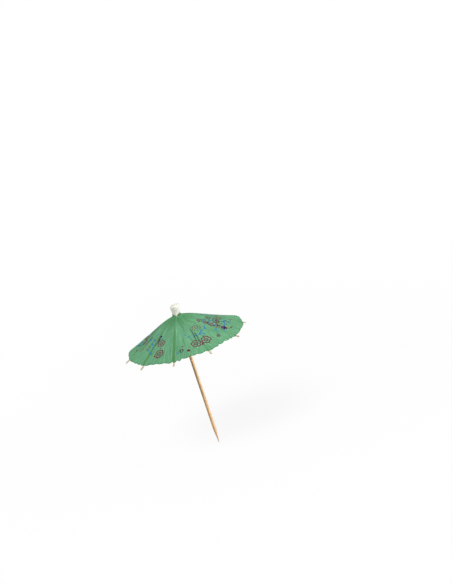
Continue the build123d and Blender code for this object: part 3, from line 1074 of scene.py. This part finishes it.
def newsprint():
    """Grey newsprint with soft smudged bands, no lettering."""
    material, tree, shader = new_material("rolled_paper", 0.85)
    place, parts = millimetres(tree)
    fibre = noise(tree, place, 2.0, 5.0, 0.7)
    smudge = noise(tree, stretched(tree, parts, (1.0, 1.0, 2.6)), 0.8)
    colour = mix(tree, between(tree, fibre, 0.3, 0.7), linear(196, 190, 174), linear(222, 216, 200))
    colour = laid_over(tree, colour, linear(126, 122, 114), between(tree, smudge, 0.52, 0.7), 0.45)
    set_surface(tree, shader, colour, fibre, 0.08)
    return material


def grain_colour(tree, streaks, fibres, dark, pale, line):
    """Bamboo's pale and darker fibres."""
    colour = mix(tree, between(tree, streaks, 0.34, 0.66), dark, pale)
    return mix(tree, between(tree, fibres, 0.6, 0.75), colour, line)


def pick_wood():
    """Turned bamboo with grain along the pick, browner at its sharpened point."""
    material, tree, shader = new_material("pick_wood", 0.55)
    _, parts = millimetres(tree)
    streaks = noise(tree, stretched(tree, parts, (2.2, 2.2, 0.05)), 1.0)
    fibres = noise(tree, stretched(tree, parts, (7.0, 7.0, 0.16)), 1.0, 4.0)
    dark, pale, line = linear(208, 158, 104), linear(246, 206, 158), linear(140, 98, 56)
    colour = grain_colour(tree, streaks, fibres, dark, pale, line)
    at_point = between(tree, parts[2], -4.0, -10.0)
    colour = laid_over(tree, colour, linear(170, 128, 78), at_point, 0.5)
    set_roughness(tree, shader, fibres, 0.48, 0.7)
    set_surface(tree, shader, colour, fibres, 0.05)
    return material


def strip_wood():
    """Split bamboo with grain along each rib or stretcher."""
    material, tree, shader = new_material("strip_wood", 0.6)
    _, (x, y, _) = millimetres(tree)
    turn = calc(tree, "ARCTAN2", y, x)
    step = math.radians(RIB_STEP)
    past = calc(tree, "FLOORED_MODULO", calc(tree, "ADD", turn, step / 2), step)
    off = calc(tree, "SUBTRACT", past, step / 2)
    out = calc(tree, "POWER", calc(tree, "ADD", times(tree, x, x), times(tree, y, y)), 0.5)
    parts = (times(tree, calc(tree, "SINE", off), out), out, turn)
    streaks = noise(tree, stretched(tree, parts, (2.4, 0.05, 3.0)), 1.0)
    fibres = noise(tree, stretched(tree, parts, (8.0, 0.14, 3.0)), 1.0, 4.0)
    dark, pale, line = linear(176, 158, 132), linear(210, 194, 168), linear(150, 128, 98)
    colour = grain_colour(tree, streaks, fibres, dark, pale, line)
    set_roughness(tree, shader, fibres, 0.5, 0.74)
    set_surface(tree, shader, colour, fibres, 0.06)
    return material


def hub_wood():
    """Pale turned wood with rings and fine pores."""
    material, tree, shader = new_material("hub_wood", 0.6)
    place, parts = millimetres(tree)
    rings = noise(tree, stretched(tree, parts, (1.0, 1.0, 4.0)), 0.9)
    pores = noise(tree, place, 3.5, 4.0, 0.7)
    colour = mix(tree, between(tree, rings, 0.36, 0.64), linear(206, 172, 124), linear(236, 210, 170))
    colour = mix(tree, between(tree, pores, 0.62, 0.78), colour, linear(164, 126, 82))
    set_surface(tree, shader, colour, calc(tree, "ADD", rings, pores), 0.06)
    return material


def cotton():
    """Off-white cotton thread."""
    material, tree, shader = new_material("thread", 0.9)
    place, _ = millimetres(tree)
    lint = noise(tree, place, 6.0, 4.0, 0.7)
    colour = mix(tree, between(tree, lint, 0.35, 0.65), linear(206, 198, 180), linear(238, 233, 220))
    shader.inputs["Sheen Weight"].default_value = 0.3
    set_surface(tree, shader, colour, lint, 0.04)
    return material


def ring_plastic():
    """Milky moulded plastic with a satin skin."""
    material, tree, shader = new_material("ring_plastic", 0.35)
    place, _ = millimetres(tree)
    cloud = noise(tree, place, 0.9, 2.0)
    grain = noise(tree, place, 5.0)
    colour = mix(tree, between(tree, cloud, 0.3, 0.7), linear(222, 220, 210), linear(240, 238, 230))
    set_roughness(tree, shader, grain, 0.28, 0.46)
    set_surface(tree, shader, colour, grain, 0.02)
    return material


def dress_nodes(names, material):
    """Gives CAD nodes that stay a material."""
    for name in names:
        slots = frame["nodes"][name].data.materials
        slots.clear()
        slots.append(material)


# The stage

def camera_axes():
    """The camera's right, up and back directions."""
    turn, rise, roll = (math.radians(a) for a in (VIEW_AZIMUTH, VIEW_ELEVATION, VIEW_ROLL))
    right = Vector((math.cos(turn), math.sin(turn), 0))
    back = Vector((math.sin(turn) * math.cos(rise), -math.cos(turn) * math.cos(rise), math.sin(rise)))
    up = back.cross(right)
    rolled_right = right * math.cos(roll) - up * math.sin(roll)
    rolled_up = right * math.sin(roll) + up * math.cos(roll)
    return rolled_right, rolled_up, back


def place_camera():
    """The photograph's view."""
    right, up, back = camera_axes()
    aim = Vector((0, 0, AIM_HEIGHT)) + right * AIM_RIGHT + up * AIM_UP
    data = bpy.data.cameras.new("camera")
    data.lens = LENS
    data.sensor_width = SENSOR
    data.clip_start = CLIP_START
    camera = bpy.data.objects.new("camera", data)
    bpy.context.scene.collection.objects.link(camera)
    turned = Matrix((right, up, back)).transposed().to_4x4()
    camera.matrix_world = Matrix.Translation((aim + back * VIEW_DISTANCE) * MM) @ turned
    bpy.context.scene.camera = camera


def lamp(name, place, size, power):
    """A soft square lamp that is turned to the canopy."""
    data = bpy.data.lights.new(name, "AREA")
    data.size = size
    data.energy = power
    obj = bpy.data.objects.new(name, data)
    bpy.context.scene.collection.objects.link(obj)
    obj.location = place
    obj.rotation_euler = (Vector(LAMP_AIM) - Vector(place)).to_track_quat("-Z", "Y").to_euler()


def seen_directly(tree):
    """1 for rays from the camera, or that mirror or pass through something."""
    path = add(tree, "ShaderNodeLightPath").outputs
    shiny = calc(tree, "MAXIMUM", path["Is Glossy Ray"], path["Is Transmission Ray"])
    return calc(tree, "MAXIMUM", path["Is Camera Ray"], shiny)


def white_world():
    """An even light, which is white where it is seen."""
    world = bpy.data.worlds.new("world")
    bpy.context.scene.world = world
    world.use_nodes = True
    tree = world.node_tree
    background = tree.nodes["Background"]
    background.inputs["Color"].default_value = (1, 1, 1, 1)
    strength = ranged(tree, seen_directly(tree), WORLD_LEVEL, 1.0)
    tree.links.new(strength, background.inputs["Strength"])


def white_floor():
    """A floor at the pick's point, white where it is seen and grey in the light that it throws back."""
    level = CAD_BOX[0][2]
    reach = FLOOR_HALF_WIDTH
    corners = [(x, y, level) for x in (-reach, reach) for y in (-reach, reach)]
    mesh = bpy.data.meshes.new("floor")
    mesh.from_pydata(corners, [], [(0, 2, 3, 1)])
    floor = bpy.data.objects.new("floor", mesh)
    bpy.context.scene.collection.objects.link(floor)
    material, tree, shader = new_material("floor", 0.9)
    seen = seen_directly(tree)
    colour = mix(tree, seen, (FLOOR_BOUNCE,) * 3 + (1,), (FLOOR_WHITE,) * 3 + (1,))
    tree.links.new(colour, shader.inputs["Base Color"])
    glow = add(tree, "ShaderNodeEmission", None, {"Color": (1, 1, 1, 1), "Strength": 1.0})
    _, (x, y, _) = millimetres(tree)
    away = calc(tree, "ADD", calc(tree, "ABSOLUTE", x), calc(tree, "ABSOLUTE", y))
    share = times(tree, seen, ranged(tree, away, GLOW_NEAR, GLOW_FAR, NEAR_FLOOR, FAR_FLOOR))
    mix_shaders(tree, share, shader, glow)
    mesh.materials.append(material)


# The whole scene

paper = canopy_paper()
for rib_index in range(RIB_COUNT):
    for rib_side in ("left", "right"):
        half_gore(rib_index, rib_side, paper)
canopy_middle(paper)
cap_roll(white_roll_paper())
sleeve_roll(newsprint())
thread = cotton()
thread_ring("crown_thread_ply", "crown_thread", "pick", thread)
thread_ring("runner_thread_ply", "runner_thread", "runner", thread)
for rib_index in range(RIB_COUNT):
    knotted_tie(rib_index, thread)
dress_nodes(["pick"], pick_wood())
strips = [f"{kind}_{index + 1:02d}" for kind in ("rib", "stretcher") for index in range(RIB_COUNT)]
dress_nodes(strips, strip_wood())
dress_nodes(["crown_hub", "runner"], hub_wood())
dress_nodes(["retaining_ring"], ring_plastic())

white_world()
white_floor()
lamp("top", **TOP_LAMP)
lamp("key", **KEY_LAMP)
place_camera()
bpy.context.scene.view_settings.view_transform = "Standard"
